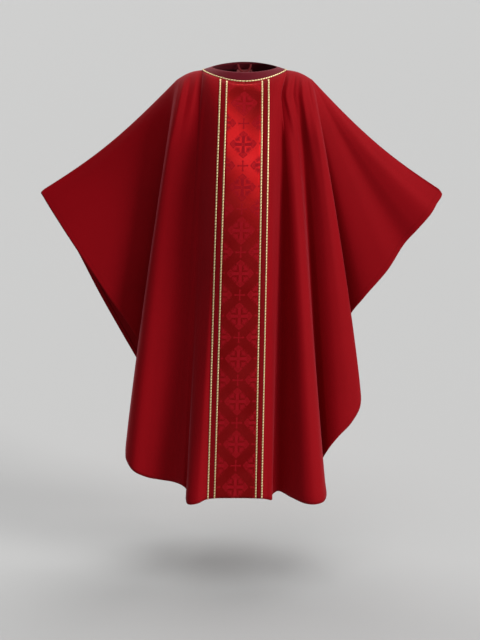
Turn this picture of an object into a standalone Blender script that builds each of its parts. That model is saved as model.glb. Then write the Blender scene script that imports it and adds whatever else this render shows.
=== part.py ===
"""Gothic chasuble: red cloth draped over shoulders and spread arms, with a damask orphrey front and back.

Frame: origin at the centre of the neck opening, +Z up, the front faces -Y, the wearer's left is +X.
The cloth hangs in straight rays: each ray runs from a point on the top line (the neck, the shoulder
seam, or the shoulder corner that the wing turns about) down to a point on the hem. A station number
says where on the top line a ray starts: 0 centre, 1 side of the neck, 2 shoulder corner, and from
2 to 3 the ray leaves the shoulder corner and turns from hanging to the top edge of the wing.
"""
import math

import bmesh
import bpy
from mathutils import Vector

# ---- driving dimensions, in metres ----
CLOTH = 0.0012
SKIN_GAP = 0.0003
SEAM_GAP = 0.0008

NECK_HALF_WIDTH = 0.098
NECK_FRONT = 0.085
NECK_BACK = 0.072
NECK_RISE_SIDE = 0.002
NECK_DROP_FRONT = 0.009
NECK_RISE_BACK = 0.010
BAND_WIDTH = 0.026
BAND_DROP = (0.024, 0.008, 0.020)
BAND_REACH = 0.87
NECK_BRAID_START = 0.66

SHOULDER_X = 0.2035
SHOULDER_Z = -0.035
WING_START = 0.016
WING_GAP = 0.0042
EDGE_SAG = 0.024

DAMASK_SHARE = 0.70
BRAID_SHARE = 0.062
TRIM_THICKNESS = 0.001
DAMASK_CLEAR = 0.0006
DAMASK_LIFT = 0.0004
FACING_SHARE = 0.016
FACING_ROOM = 0.015

TAPE_WIDTH = 0.012
TAPE_THICKNESS = 0.0008
STAY_START = 1.06
STAY_END = 1.90
STAY_DROP = 0.0034
LOOP_HALF_WIDTH = 0.022
LOOP_DEPTH = 0.026
LOOP_BAND = 0.006
LOOP_GAP = 0.0045
LOOP_BELOW_EDGE = 0.006
LOOP_THICKNESS = 0.0012
LOOP_STEPS = 12
LABEL_HALF_WIDTH = 0.024
LABEL_HEIGHT = 0.032
LABEL_GAP = 0.0065
LABEL_BELOW_BAND = 0.003
LABEL_THICKNESS = 0.0006

# by station: how far the body holds the cloth out, the length over which it rounds off, and how full that is
FRONT_LIFT = (
    (0.0, 0.220), (0.38, 0.208), (0.76, 0.132), (1.25, 0.120), (1.8, 0.122), (2.0, 0.078),
    (3.0, 0.030),
)
FRONT_ROUND = (
    (0.0, 0.600), (0.38, 0.560), (0.76, 0.300), (1.25, 0.200), (1.8, 0.160), (2.0, 0.100),
    (3.0, 0.045),
)
FRONT_EASE = ((0.0, 0.80), (0.38, 0.75), (0.76, 0.55), (1.25, 0.50), (3.0, 0.50))
BACK_LIFT = ((0.0, 0.135), (1.0, 0.100), (1.7, 0.075), (2.0, 0.060), (3.0, 0.030))
BACK_ROUND = ((0.0, 0.320), (1.0, 0.180), (2.0, 0.090), (3.0, 0.045))
BACK_EASE = ((0.0, 0.50), (3.0, 0.50))
FRONT_SHAPE = (FRONT_LIFT, FRONT_ROUND, FRONT_EASE)
BACK_SHAPE = (BACK_LIFT, BACK_ROUND, BACK_EASE)
# how quickly the cloth of the breast leaves the curve of the neck
NECK_EASE = 4.0
# by station: how far a side edge swings out halfway down, and the depth of the folds over the breast
SIDE_SWELL = {
    1: ((0.0, 0.000), (1.1, 0.000), (1.42, -0.007), (1.62, 0.002), (1.88, 0.014), (2.0, 0.008),
        (2.3, 0.000), (3.0, 0.000)),
    -1: ((0.0, 0.000), (1.2, 0.000), (1.88, 0.009), (2.0, 0.005), (2.3, 0.000), (3.0, 0.000)),
}
CHEST_FOLD = (
    (0.00, 0.000), (0.43, 0.000), (0.74, 0.006), (1.15, -0.010), (1.50, 0.006), (1.85, -0.006),
    (2.00, 0.000), (3.00, 0.000),
)

DOWN_STEPS = (0.0, 0.004, 0.018, 0.04, 0.08, 0.14, 0.24, 0.38, 0.54, 0.70, 0.85, 1.0 - FACING_SHARE, 1.0)
NECK_STEPS = 40

# ---- the hem, one row per ray: station, x, y, z, and how late the fold opens below the shoulder ----
FRONT_LEFT = (
    (0.00, -0.029, -0.262, -1.272, 0.0), (0.43, 0.054, -0.262, -1.274, 0.0),
    (0.49, 0.068, -0.254, -1.279, 0.0), (0.53, 0.080, -0.250, -1.283, 1.2),
    (0.57, 0.085, -0.236, -1.286, 2.0), (0.62, 0.086, -0.206, -1.282, 2.0),
    (0.74, 0.103, -0.196, -1.274, 0.0), (0.92, 0.144, -0.236, -1.280, 0.0),
    (1.10, 0.185, -0.266, -1.288, 0.0), (1.22, 0.215, -0.268, -1.290, 0.0),
    (1.32, 0.240, -0.250, -1.289, 0.0), (1.38, 0.252, -0.215, -1.282, 0.0),
    (1.45, 0.250, -0.150, -1.256, 0.0), (1.52, 0.243, -0.098, -1.215, 0.0),
    (1.62, 0.262, -0.118, -1.165, 0.0),
    (1.74, 0.294, -0.126, -1.119, 0.0), (1.84, 0.333, -0.112, -1.080, 0.0),
    (1.91, 0.363, -0.078, -1.029, 0.0), (1.96, 0.346, -0.040, -0.962, 0.0),
    (2.00, 0.315, -0.020, -0.878, 0.0), (2.10, 0.322, -0.034, -0.769, 0.0),
    (2.28, 0.370, -0.066, -0.689, 0.0), (2.45, 0.439, -0.062, -0.606, 0.0),
    (2.62, 0.489, -0.044, -0.529, 0.0), (2.74, 0.530, -0.050, -0.480, 0.0),
    (2.86, 0.568, -0.044, -0.436, 0.0), (2.93, 0.588, -0.022, -0.408, 0.0),
    (2.97, 0.605, -0.002, -0.383, 0.0), (3.00, 0.595, 0.000, -0.367, 0.0),
)
FRONT_RIGHT = (
    (0.00, -0.029, -0.262, -1.272, 0.0), (0.43, -0.114, -0.262, -1.276, 0.0),
    (0.52, -0.143, -0.280, -1.283, 1.2), (0.60, -0.171, -0.272, -1.288, 1.6),
    (0.65, -0.179, -0.246, -1.280, 1.8), (0.70, -0.178, -0.212, -1.264, 1.6),
    (0.82, -0.189, -0.210, -1.252, 0.3), (1.02, -0.219, -0.186, -1.248, 0.0),
    (1.25, -0.258, -0.178, -1.244, 0.0), (1.48, -0.302, -0.186, -1.232, 0.0),
    (1.68, -0.342, -0.188, -1.211, 0.0), (1.82, -0.363, -0.165, -1.188, 0.0),
    (1.90, -0.370, -0.120, -1.175, 0.0), (1.96, -0.350, -0.050, -1.058, 0.0),
    (2.00, -0.305, -0.026, -0.941, 0.0), (2.18, -0.330, -0.050, -0.833, 0.0),
    (2.45, -0.426, -0.072, -0.673, 0.0), (2.66, -0.524, -0.056, -0.525, 0.0),
    (2.85, -0.589, -0.026, -0.429, 0.0), (2.95, -0.617, -0.004, -0.388, 0.0),
    (2.98, -0.623, -0.001, -0.377, 0.0), (3.00, -0.614, 0.000, -0.367, 0.0),
)
BACK_LEFT = (
    (0.00, 0.000, 0.205, -1.300, 0.0), (0.43, 0.080, 0.205, -1.300, 0.0),
    (0.55, 0.112, 0.200, -1.298, 0.0), (0.62, 0.110, 0.150, -1.296, 0.8),
    (0.85, 0.135, 0.120, -1.290, 0.8), (1.20, 0.195, 0.185, -1.275, 0.0),
    (1.45, 0.235, 0.160, -1.235, 0.0), (1.60, 0.225, 0.100, -1.170, 0.0),
    (1.80, 0.262, 0.115, -1.090, 0.0), (1.92, 0.310, 0.085, -1.020, 0.0),
    (2.00, 0.285, 0.035, -0.930, 0.0),
    (2.18, 0.318, 0.048, -0.800, 0.0), (2.45, 0.410, 0.058, -0.665, 0.0),
    (2.65, 0.490, 0.042, -0.550, 0.0), (2.80, 0.544, 0.026, -0.466, 0.0),
    (2.92, 0.593, 0.010, -0.403, 0.0), (2.97, 0.606, 0.001, -0.383, 0.0),
    (3.00, 0.596, 0.000, -0.366, 0.0),
)
BACK_RIGHT = (
    (0.00, 0.000, 0.205, -1.300, 0.0), (0.43, -0.080, 0.205, -1.300, 0.0),
    (0.54, -0.110, 0.202, -1.298, 0.0), (0.62, -0.112, 0.152, -1.294, 0.8),
    (0.88, -0.145, 0.118, -1.286, 0.8), (1.25, -0.215, 0.178, -1.268, 0.0),
    (1.50, -0.262, 0.150, -1.230, 0.0), (1.66, -0.255, 0.092, -1.185, 0.0),
    (1.82, -0.290, 0.110, -1.140, 0.0), (1.93, -0.325, 0.080, -1.090, 0.0),
    (2.00, -0.292, 0.032, -1.020, 0.0),
    (2.18, -0.334, 0.050, -0.935, 0.0), (2.35, -0.394, 0.055, -0.825, 0.0),
    (2.50, -0.455, 0.045, -0.705, 0.0), (2.66, -0.530, 0.032, -0.545, 0.0),
    (2.85, -0.590, 0.018, -0.432, 0.0), (2.95, -0.617, 0.004, -0.388, 0.0),
    (2.98, -0.623, 0.001, -0.377, 0.0), (3.00, -0.614, 0.000, -0.367, 0.0),
)

# ---- colours and finishes: base colour, roughness, metallic ----
CRIMSON = ("crimson_cloth", (0.20, 0.006, 0.012), 0.85, 0.0)
MAROON = ("maroon_cloth", (0.085, 0.006, 0.018), 0.80, 0.0)
DAMASK = ("red_damask", (0.28, 0.008, 0.012), 0.45, 0.0)
GOLD = ("gold_braid", (0.75, 0.58, 0.20), 0.40, 0.6)
TAPE = ("red_tape", (0.16, 0.008, 0.012), 0.90, 0.0)
LABEL = ("blank_label", (0.24, 0.04, 0.045), 0.85, 0.0)


def clear_scene():
    for thing in list(bpy.data.objects):
        bpy.data.objects.remove(thing)


def material(finish):
    """The Principled material of a finish, made once."""
    name, colour, roughness, metallic = finish
    found = bpy.data.materials.get(name)
    if found:
        return found
    made = bpy.data.materials.new(name)
    made.use_nodes = True
    shader = made.node_tree.nodes["Principled BSDF"]
    shader.inputs["Base Color"].default_value = (*colour, 1.0)
    shader.inputs["Roughness"].default_value = roughness
    shader.inputs["Metallic"].default_value = metallic
    return made


def read_table(table, at):
    """A value read from (station, value) pairs by straight lines."""
    for (low, a), (high, b) in zip(table, table[1:]):
        if at <= high:
            return a + (b - a) * (at - low) / (high - low)
    return table[-1][1]


def smooth(value):
    value = min(1.0, max(0.0, value))
    return value * value * (3.0 - 2.0 * value)


def neck_point(turn, across):
    """A point on the neck band: turn 0 is the centre front, pi the centre back; across 0 inner, 1 outer."""
    towards_front = math.cos(turn)
    reach = NECK_FRONT if towards_front > 0 else NECK_BACK
    end_rise = -NECK_DROP_FRONT if towards_front > 0 else NECK_RISE_BACK
    end_drop = BAND_DROP[0] if towards_front > 0 else BAND_DROP[2]
    share = towards_front * towards_front
    run = BAND_WIDTH * (1.0 - 0.42 * share)
    x = (NECK_HALF_WIDTH + run * across) * math.sin(turn)
    y = -(reach + run * across) * towards_front
    z = NECK_RISE_SIDE + end_rise * share - across * (BAND_DROP[1] + (end_drop - BAND_DROP[1]) * share)
    return Vector((x, y, z))


def top_point(station, side, front):
    """Where the ray of a station starts, on the outer edge of the neck band or on the shoulder seam."""
    if station < 1.0:
        turn = station * math.pi / 2
        point = neck_point(turn if front else math.pi - turn, 1.0)
        return Vector((side * point.x, point.y, point.z))
    neck_side = neck_point(math.pi / 2, 1.0)
    corner = Vector((SHOULDER_X, 0.0, SHOULDER_Z))
    point = neck_side.lerp(corner, min(1.0, station - 1.0))
    return Vector((side * point.x, 0.0, point.z))


def curve_row(rows, at):
    """A hem row at a fractional index, on a Catmull-Rom curve through the rows."""
    index = min(int(at), len(rows) - 2)
    share = at - index
    before = rows[max(index - 1, 0)]
    start, end = rows[index], rows[index + 1]
    after = rows[min(index + 2, len(rows) - 1)]
    values = []
    for a, b, c, d in zip(before, start, end, after):
        bend = 2 * b + (c - a) * share + (2 * a - 5 * b + 4 * c - d) * share ** 2
        values.append(0.5 * (bend + (3 * b - a - 3 * c + d) * share ** 3))
    return values


def settled(rows, at, column):
    """A column of the hem table without its late folds, by straight lines between the other rows."""
    steady = [(i, row[column]) for i, row in enumerate(rows) if row[4] == 0.0]
    return read_table(steady, at)


def body_lift(rows, side, front, station, foot, down):
    """How far the body holds the cloth away from a straight ray."""
    start = top_point(station, side, front)
    length = down * (foot - start).length
    edge_end = Vector(rows[-1][1:4]) - Vector((side * SHOULDER_X, 0.0, SHOULDER_Z))
    edge_way = Vector((edge_end.x, 0.0, edge_end.z)).normalized()
    ray_way = Vector((foot.x - start.x, 0.0, foot.z - start.z)).normalized()
    under_edge = abs(edge_way.cross(ray_way).length)
    near_wing = smooth((station - 1.6) / 0.4)
    drop = length * (1.0 + (under_edge - 1.0) * near_wing)
    lifts, rounds, eases = FRONT_SHAPE if front else BACK_SHAPE
    rounding = min(1.0, drop / read_table(rounds, station))
    fullness = (1.0 - (1.0 - rounding) ** 2) ** read_table(eases, station)
    return read_table(lifts, station) * (1.0 - down) * fullness


def cloth_point(rows, side, front, at, down):
    """A point of the cloth: at is the fractional row, down is 0 on the top line and 1 on the hem."""
    station, x, y, z, late = curve_row(rows, at)
    station = min(3.0, max(0.0, station))
    start = top_point(station, side, front)
    foot = Vector((x, y, z))
    point = start.lerp(foot, down)
    opening = down - down ** (1.0 + max(late, 0.0))
    point.x -= (x - settled(rows, at, 1)) * opening
    point.y -= (y - settled(rows, at, 2)) * opening
    point.y -= start.y * ((1.0 - down) - (1.0 - down) ** NECK_EASE)
    facing = -1.0 if front else 1.0
    point.y += facing * body_lift(rows, side, front, station, foot, down)
    middle = math.sin(math.pi * down)
    point.x += side * read_table(SIDE_SWELL[side], station) * math.sqrt(max(0.0, middle))
    if front and side > 0:
        point.y += read_table(CHEST_FOLD, station) * math.sqrt(max(0.0, middle))
    point.z -= EDGE_SAG * middle * smooth(station - 2.0)
    return point + Vector((side * SKIN_GAP, facing * SEAM_GAP, 0.0))


def grid_normals(grid):
    """A unit normal for each grid point, from its neighbours."""
    normals = []
    for i, column in enumerate(grid):
        line = []
        for j, _ in enumerate(column):
            left = grid[max(i - 1, 0)][j]
            right = grid[min(i + 1, len(grid) - 1)][j]
            above = column[max(j - 1, 0)]
            below = column[min(j + 1, len(column) - 1)]
            line.append((right - left).cross(below - above).normalized())
        normals.append(line)
    return normals


def face_outward(grid, front):
    """Normals that point away from the wearer."""
    normals = grid_normals(grid)
    total = sum(normal.y for line in normals for normal in line)
    wanted = -1.0 if front else 1.0
    if total * wanted < 0:
        return [[-normal for normal in line] for line in normals]
    return normals


def add_object(name, bm, finish):
    bmesh.ops.recalc_face_normals(bm, faces=bm.faces)
    if bm.calc_volume(signed=True) < 0:
        bmesh.ops.reverse_faces(bm, faces=bm.faces)
    mesh = bpy.data.meshes.new(name)
    bm.to_mesh(mesh)
    bm.free()
    mesh.materials.append(material(finish))
    thing = bpy.data.objects.new(name, mesh)
    bpy.context.scene.collection.objects.link(thing)
    return thing


def slab(name, grid, normals, inner, outer, finish, ring=False, pivot=0):
    """A closed skin between two offsets from a grid of points.

    Every square is split along the diagonal from its top inner corner, so that skins laid on each
    other stay parallel. Columns before the pivot run inwards, and their diagonal is the other one.
    """
    bm = bmesh.new()
    layers = []
    for offset in (inner, outer):
        layers.append([[bm.verts.new(p + n * offset) for p, n in zip(column, line)]
                       for column, line in zip(grid, normals)])
    wide, tall = len(grid), len(grid[0])
    for i in range(wide if ring else wide - 1):
        near, far = (i, (i + 1) % wide) if i >= pivot else (i + 1, i)
        for layer in layers:
            for j in range(tall - 1):
                bm.faces.new((layer[near][j], layer[far][j], layer[far][j + 1]))
                bm.faces.new((layer[near][j], layer[far][j + 1], layer[near][j + 1]))
        for j in (0, tall - 1):
            bm.faces.new((layers[0][near][j], layers[0][far][j], layers[1][far][j], layers[1][near][j]))
    if not ring:
        for i in (0, wide - 1):
            for j in range(tall - 1):
                bm.faces.new((layers[0][i][j], layers[0][i][j + 1], layers[1][i][j + 1], layers[1][i][j]))
    return add_object(name, bm, finish)


def columns_of(grid, first, last):
    return grid[first:last + 1]


def split_row(rows):
    """The row of the deepest fold beside the body, where the wing begins."""
    return next(i for i, row in enumerate(rows) if row[0] == 2.0)


def quarter(rows, side, front):
    """One quarter of the garment: its body panel, orphrey half edges, wing and hem facings."""
    half = "front" if front else "back"
    hand = "left" if side > 0 else "right"
    split = split_row(rows)
    edges = (0.0, DAMASK_SHARE, DAMASK_SHARE + BRAID_SHARE, 1.0 - BRAID_SHARE, 1.0)
    places = list(edges) + [1.0 + 0.5 * k for k in range(1, 2 * (split - 1) + 1)]
    grid = [[cloth_point(rows, side, front, at, down) for down in DOWN_STEPS] for at in places]
    normals = face_outward(grid, front)
    half_cloth = CLOTH / 2
    slab(f"{half}_panel_{hand}", grid, normals, -half_cloth, half_cloth, CRIMSON)

    inner_face = -half_cloth - SKIN_GAP
    facing = slice(len(DOWN_STEPS) - 2, None)
    slab(f"{half}_hem_facing_{hand}", [column[facing] for column in grid],
         [line[facing] for line in normals], inner_face - CLOTH, inner_face, CRIMSON)

    wing_rows = len(rows) - 1
    wing_places = [split + 0.5 * k for k in range(2 * (wing_rows - split) + 1)]
    wing = [wing_ray(rows, side, front, at) for at in wing_places]
    wing_normals = face_outward(wing, front)
    slab(f"{hand}_wing_{half}", wing, wing_normals, -half_cloth, half_cloth, CRIMSON)
    last_open = max(i for i, row in enumerate(rows) if abs(row[2]) >= FACING_ROOM)
    turned_up = 2 * (last_open - split) + 1
    slab(f"{hand}_wing_hem_facing_{half}", [column[facing] for column in wing[1:turned_up]],
         [line[facing] for line in wing_normals[1:turned_up]], inner_face - CLOTH, inner_face, CRIMSON)

    lie = half_cloth + SKIN_GAP
    strip_top = lie + TRIM_THICKNESS
    braid_low = strip_top + SKIN_GAP
    braid_top = braid_low + TRIM_THICKNESS
    strips = {
        f"{half}_orphrey_border_{hand}": (1, 4, lie, strip_top, CRIMSON),
        f"{half}_inner_braid_{hand}": (1, 2, braid_low, braid_top, GOLD),
        f"{half}_outer_braid_{hand}": (3, 4, braid_low, braid_top, GOLD),
    }
    for name, (first, last, low, high, finish) in strips.items():
        slab(name, columns_of(grid, first, last), columns_of(normals, first, last), low, high, finish)
    return columns_of(grid, 0, 1), columns_of(normals, 0, 1)


def wing_ray(rows, side, front, at):
    """One ray of a wing: it starts a little way from the shoulder corner and keeps off the body panel."""
    corner = Vector((side * SHOULDER_X, 0.0, SHOULDER_Z))
    split = split_row(rows)
    foot = cloth_point(rows, side, front, at, 1.0)
    first = WING_START / (foot - corner).length
    steps = [first + (1.0 - first) * down for down in DOWN_STEPS[:-2]] + list(DOWN_STEPS[-2:])
    way = (foot - corner).normalized()
    outward = Vector((-way.z, 0.0, way.x)) * side
    clear = WING_GAP * (1.0 - smooth((at - split) / 2.0))
    return [cloth_point(rows, side, front, at, down) + outward * clear for down in steps]


def damask(half, left, right):
    """The damask band: both halves joined down the centre, with its edges just clear of the borders."""
    left_grid, left_normals = left
    right_grid, right_normals = right
    middle = [(a + b) / 2 for a, b in zip(left_grid[0], right_grid[0])]
    middle_normals = [(a + b).normalized() for a, b in zip(left_normals[0], right_normals[0])]
    clear = Vector((DAMASK_CLEAR, 0.0, 0.0))
    grid = [[p - clear for p in left_grid[1]], middle, [p + clear for p in right_grid[1]]]
    normals = [left_normals[1], middle_normals, right_normals[1]]
    low = CLOTH / 2 + SKIN_GAP + DAMASK_LIFT
    slab(f"{half}_orphrey_damask", grid, normals, low, low + TRIM_THICKNESS, DAMASK, pivot=1)


def neck_ring(name, first, last, low, high, finish):
    """A ring that follows the neck, between two shares of the band's width."""
    turns = [2 * math.pi * k / NECK_STEPS for k in range(NECK_STEPS)]
    grid = []
    normals = []
    for turn in turns:
        inner, outer = neck_point(turn, 0.0), neck_point(turn, 1.0)
        along = neck_point(turn + 0.01, 0.5) - neck_point(turn - 0.01, 0.5)
        normal = along.cross(outer - inner).normalized()
        if normal.z < 0:
            normal = -normal
        grid.append([inner.lerp(outer, first), inner.lerp(outer, last)])
        normals.append([normal, normal])
    slab(name, grid, normals, low, high, finish, ring=True)


def neck():
    """The band round the opening, its facing underneath and the gold braid along its outer edge."""
    face = CLOTH / 2
    facing_top = -face - SKIN_GAP
    braid_low = face + SEAM_GAP
    neck_ring("neck_band", 0.0, BAND_REACH, -face, face, MAROON)
    neck_ring("neck_facing", 0.0, BAND_REACH, facing_top - CLOTH, facing_top, MAROON)
    neck_ring("neck_braid", NECK_BRAID_START, BAND_REACH, braid_low, braid_low + TRIM_THICKNESS, GOLD)


def box_between(name, start, end, width, thickness, finish):
    """A flat tape between two points in the XZ plane: width along Y, thickness square to it."""
    way = (end - start).normalized()
    up = Vector((-way.z, 0.0, way.x))
    if up.z < 0:
        up = -up
    bm = bmesh.new()
    corners = []
    for along in (start, end):
        for across in (-width / 2, width / 2):
            for lift in (-thickness, 0.0):
                corners.append(bm.verts.new(along + Vector((0.0, across, 0.0)) + up * lift))
    for face in ((0, 1, 3, 2), (4, 6, 7, 5), (0, 4, 5, 1), (2, 3, 7, 6), (0, 2, 6, 4), (1, 5, 7, 3)):
        bm.faces.new([corners[k] for k in face])
    return add_object(name, bm, finish)


def shoulder_stays():
    """A tape under each shoulder seam, which carries the weight of the cloth on the shoulder."""
    for side, hand in ((1, "left"), (-1, "right")):
        under = Vector((0.0, 0.0, -STAY_DROP))
        start = top_point(STAY_START, side, True) + under
        end = top_point(STAY_END, side, True) + under
        box_between(f"shoulder_stay_{hand}", start, end, TAPE_WIDTH, TAPE_THICKNESS, TAPE)


def hanging_loop():
    """A narrow tape loop at the back of the neck, inside the facing."""
    anchor = neck_point(math.pi, 0.0)
    middle = Vector((0.0, anchor.y - LOOP_GAP, anchor.z - LOOP_BELOW_EDGE))
    grid = []
    for k in range(LOOP_STEPS + 1):
        turn = math.pi * k / LOOP_STEPS
        column = []
        for inset in (0.0, LOOP_BAND):
            across = -math.cos(turn) * (LOOP_HALF_WIDTH - inset)
            below = -math.sin(turn) * (LOOP_DEPTH - inset)
            column.append(middle + Vector((across, 0.0, below)))
        grid.append(column)
    flat_piece("hanging_loop", grid, LOOP_THICKNESS, TAPE)


def care_label():
    """A blank woven label that hangs below the facing at the centre back."""
    edge = neck_point(math.pi, 1.0)
    y = edge.y - LABEL_GAP
    top = edge.z - LABEL_BELOW_BAND
    sides = (-LABEL_HALF_WIDTH, LABEL_HALF_WIDTH)
    grid = [[Vector((x, y, top)), Vector((x, y, top - LABEL_HEIGHT))] for x in sides]
    flat_piece("blank_label", grid, LABEL_THICKNESS, LABEL)


def flat_piece(name, grid, thickness, finish):
    """A thin piece in a plane that faces forwards."""
    normals = [[Vector((0.0, -1.0, 0.0))] * len(column) for column in grid]
    slab(name, grid, normals, 0.0, thickness, finish)


def main():
    clear_scene()
    for half, front, left_rows, right_rows in (("front", True, FRONT_LEFT, FRONT_RIGHT),
                                               ("back", False, BACK_LEFT, BACK_RIGHT)):
        left = quarter(left_rows, 1, front)
        right = quarter(right_rows, -1, front)
        damask(half, left, right)
    neck()
    shoulder_stays()
    hanging_loop()
    care_label()


main()
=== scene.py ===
"""The looks of the chasuble: cloth halves, damask orphreys with plain borders and gold braids, and the neck.

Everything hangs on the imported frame. The cloth hangs in rays from a top line (neck, shoulder seam, shoulder
corner) to the hem, as it does in the solids. A station of 0 is the centre, 1 the side of the neck and 2 the
shoulder corner, and from 2 to 3 a ray turns from hanging to the top edge of the wing. A share of the way down
is 0 at the top line and 1 at the hem. Side is 1 for the wearer's left, which is +X, and -1 for the right.
"""
import math

import bmesh
import bpy
import numpy as np
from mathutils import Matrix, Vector


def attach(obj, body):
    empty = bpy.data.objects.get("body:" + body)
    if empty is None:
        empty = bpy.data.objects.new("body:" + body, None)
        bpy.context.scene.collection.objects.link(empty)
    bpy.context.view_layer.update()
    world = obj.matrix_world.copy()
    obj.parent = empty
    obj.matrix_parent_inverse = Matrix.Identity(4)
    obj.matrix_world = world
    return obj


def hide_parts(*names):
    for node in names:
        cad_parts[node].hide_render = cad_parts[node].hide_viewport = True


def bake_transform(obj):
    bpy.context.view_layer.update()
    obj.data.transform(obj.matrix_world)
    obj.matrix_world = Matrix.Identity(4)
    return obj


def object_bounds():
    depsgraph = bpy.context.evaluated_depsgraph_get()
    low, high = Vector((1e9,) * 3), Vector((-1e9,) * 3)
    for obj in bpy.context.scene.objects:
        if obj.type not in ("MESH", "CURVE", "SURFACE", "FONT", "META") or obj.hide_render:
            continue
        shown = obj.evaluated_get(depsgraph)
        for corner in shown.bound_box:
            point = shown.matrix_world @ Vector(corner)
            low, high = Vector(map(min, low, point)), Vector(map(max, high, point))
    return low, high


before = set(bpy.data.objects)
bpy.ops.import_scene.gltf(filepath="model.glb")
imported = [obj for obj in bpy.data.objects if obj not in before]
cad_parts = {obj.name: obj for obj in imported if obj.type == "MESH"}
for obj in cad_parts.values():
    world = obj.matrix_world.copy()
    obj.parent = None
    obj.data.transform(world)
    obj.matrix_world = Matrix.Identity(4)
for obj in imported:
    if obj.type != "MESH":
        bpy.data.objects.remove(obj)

CAD_BOX = [list(corner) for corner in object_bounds()]

# ---- dimensions shared with the frame, in metres ----
# the neck opening and the band around it: drops of the band's outer edge at the front, side and back
NECK_HALF_WIDTH = 0.098
NECK_FRONT = 0.085
NECK_BACK = 0.072
NECK_RISE_SIDE = 0.002
NECK_DROP_FRONT = 0.009
NECK_RISE_BACK = 0.010
BAND_WIDTH = 0.026
BAND_DROP = (0.024, 0.008, 0.020)
BAND_NARROWING = 0.42
SHOULDER = (0.2035, 0.0, -0.035)

# how far the body inside pushes the cloth out, over what drop it rounds off, and the power of that curve,
# each as a table of (station, value)
FRONT_LIFT = (
    (0.0, 0.220), (0.38, 0.208), (0.76, 0.132), (1.25, 0.120), (1.8, 0.122), (2.0, 0.078), (3.0, 0.030),
)
FRONT_ROUND = (
    (0.0, 0.600), (0.38, 0.560), (0.76, 0.300), (1.25, 0.200), (1.8, 0.160), (2.0, 0.100), (3.0, 0.045),
)
FRONT_EASE = ((0.0, 0.80), (0.38, 0.75), (0.76, 0.55), (1.25, 0.50), (3.0, 0.50))
BACK_LIFT = ((0.0, 0.135), (1.0, 0.100), (1.7, 0.075), (2.0, 0.060), (3.0, 0.030))
BACK_ROUND = ((0.0, 0.320), (1.0, 0.180), (2.0, 0.090), (3.0, 0.045))
BACK_EASE = ((0.0, 0.50), (3.0, 0.50))
FRONT_SHAPE = (FRONT_LIFT, FRONT_ROUND, FRONT_EASE)
BACK_SHAPE = (BACK_LIFT, BACK_ROUND, BACK_EASE)

# how fast the curve of the neck fades out below it, and how far the sides swell out between top and hem
NECK_EASE = ((0.0, 4.0), (0.38, 4.0), (0.8, 9.0), (3.0, 9.0))
SIDE_SWELL = {
    1: (
        (0.0, 0.000), (1.1, 0.000), (1.42, -0.007), (1.62, 0.002), (1.88, 0.014), (2.0, 0.008), (2.3, 0.000),
        (3.0, 0.000),
    ),
    -1: ((0.0, 0.000), (1.2, 0.000), (1.88, 0.009), (2.0, 0.005), (2.3, 0.000), (3.0, 0.000)),
}

# folds of the left chest: their depth, the share of the way down where they begin, and over what share
CHEST_FOLD = (
    (0.00, 0.000), (0.43, 0.000), (0.74, 0.006), (1.15, -0.010), (1.50, 0.006), (1.85, -0.006),
    (2.00, 0.000), (3.00, 0.000),
)
CHEST_FOLD_START = 0.06
CHEST_FOLD_RUN = 0.10

# the cloth below the left shoulder leans towards the neck, and this fades out down the body
SHOULDER_LEAN = ((0.0, 0.000), (0.5, 0.000), (1.12, -0.030), (1.7, -0.004), (2.0, 0.000), (3.0, 0.000))
LEAN_REACH = 0.17
LEAN_START = 0.06

# creases below each front shoulder: station at the seam, drift outwards, width, height and reach down
CREASES = {
    1: (
        (1.12, 1.6, 0.070, 0.0050, 0.16), (1.34, 1.1, 0.050, -0.0050, 0.12),
        (1.58, 0.5, 0.060, 0.0060, 0.22), (1.76, 0.6, 0.045, -0.0040, 0.14),
    ),
    -1: (
        (1.20, 1.2, 0.080, 0.0040, 0.10), (1.42, 0.9, 0.070, -0.0040, 0.10),
        (1.66, 0.6, 0.070, 0.0035, 0.16),
    ),
}
CREASE_START = 0.02

# the sag of the wing's hanging edge, and the rise of the shoulder seam over the shoulder's roundness
EDGE_SAG = 0.024
SEAM_RISE = 0.007

# ---- cloth: its thickness, its mesh (rows lie closer over the shoulder), and the turned-up hem ----
CLOTH = 0.0007
COLUMNS_PER_FOLD = 9
DOWN_COUNT = 130
DOWN_POWER = 1.25
WELD = 0.00002
HEM_LOWEST = 0.9992
HEM_WIDTH = 0.020
HEM_THICKNESS = 0.0006
HEM_END = 2.9
HEM_STITCH = 0.018
STITCH_END = 2.97
STITCH_PITCH = 0.0045
STITCH_THICKNESS = 0.0005

# ---- tapes and label inside ----
STAY_SPAN = (1.06, 1.90)
STAY_DROP = 0.0034
STAY_WIDTH = 0.012
STAY_THICKNESS = 0.0012
LOOP_HALF_WIDTH = 0.022
LOOP_DEPTH = 0.026
LOOP_BAND = 0.006
LOOP_GAP = 0.0045
LOOP_BELOW_EDGE = 0.006
LOOP_THICKNESS = 0.0012
LABEL_HALF_WIDTH = 0.024
LABEL_HEIGHT = 0.032
LABEL_GAP = 0.0065
LABEL_BELOW_BAND = 0.003
LABEL_THICKNESS = 0.0006

# ---- the orphrey: where its pieces lie, as shares of its half width ----
ORPHREY_STATION = 0.43
DAMASK_SHARE = 0.70
BORDER_SHARE = (0.69, 0.985)
BRAID_SHARES = {"inner": 0.693, "outer": 0.962}

# the ends of the strips as shares of the way down, the step in station over which the cloth's slope below
# them is read, their thickness, and how far they lie off the cloth
STRIP_SPAN = (0.004, 0.9985)
STRIP_STEP = 0.004
DAMASK_THICKNESS = 0.0007
DAMASK_OFF_CLOTH = 0.0007
BORDER_THICKNESS = 0.0006
BORDER_OFF_CLOTH = 0.0004

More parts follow.
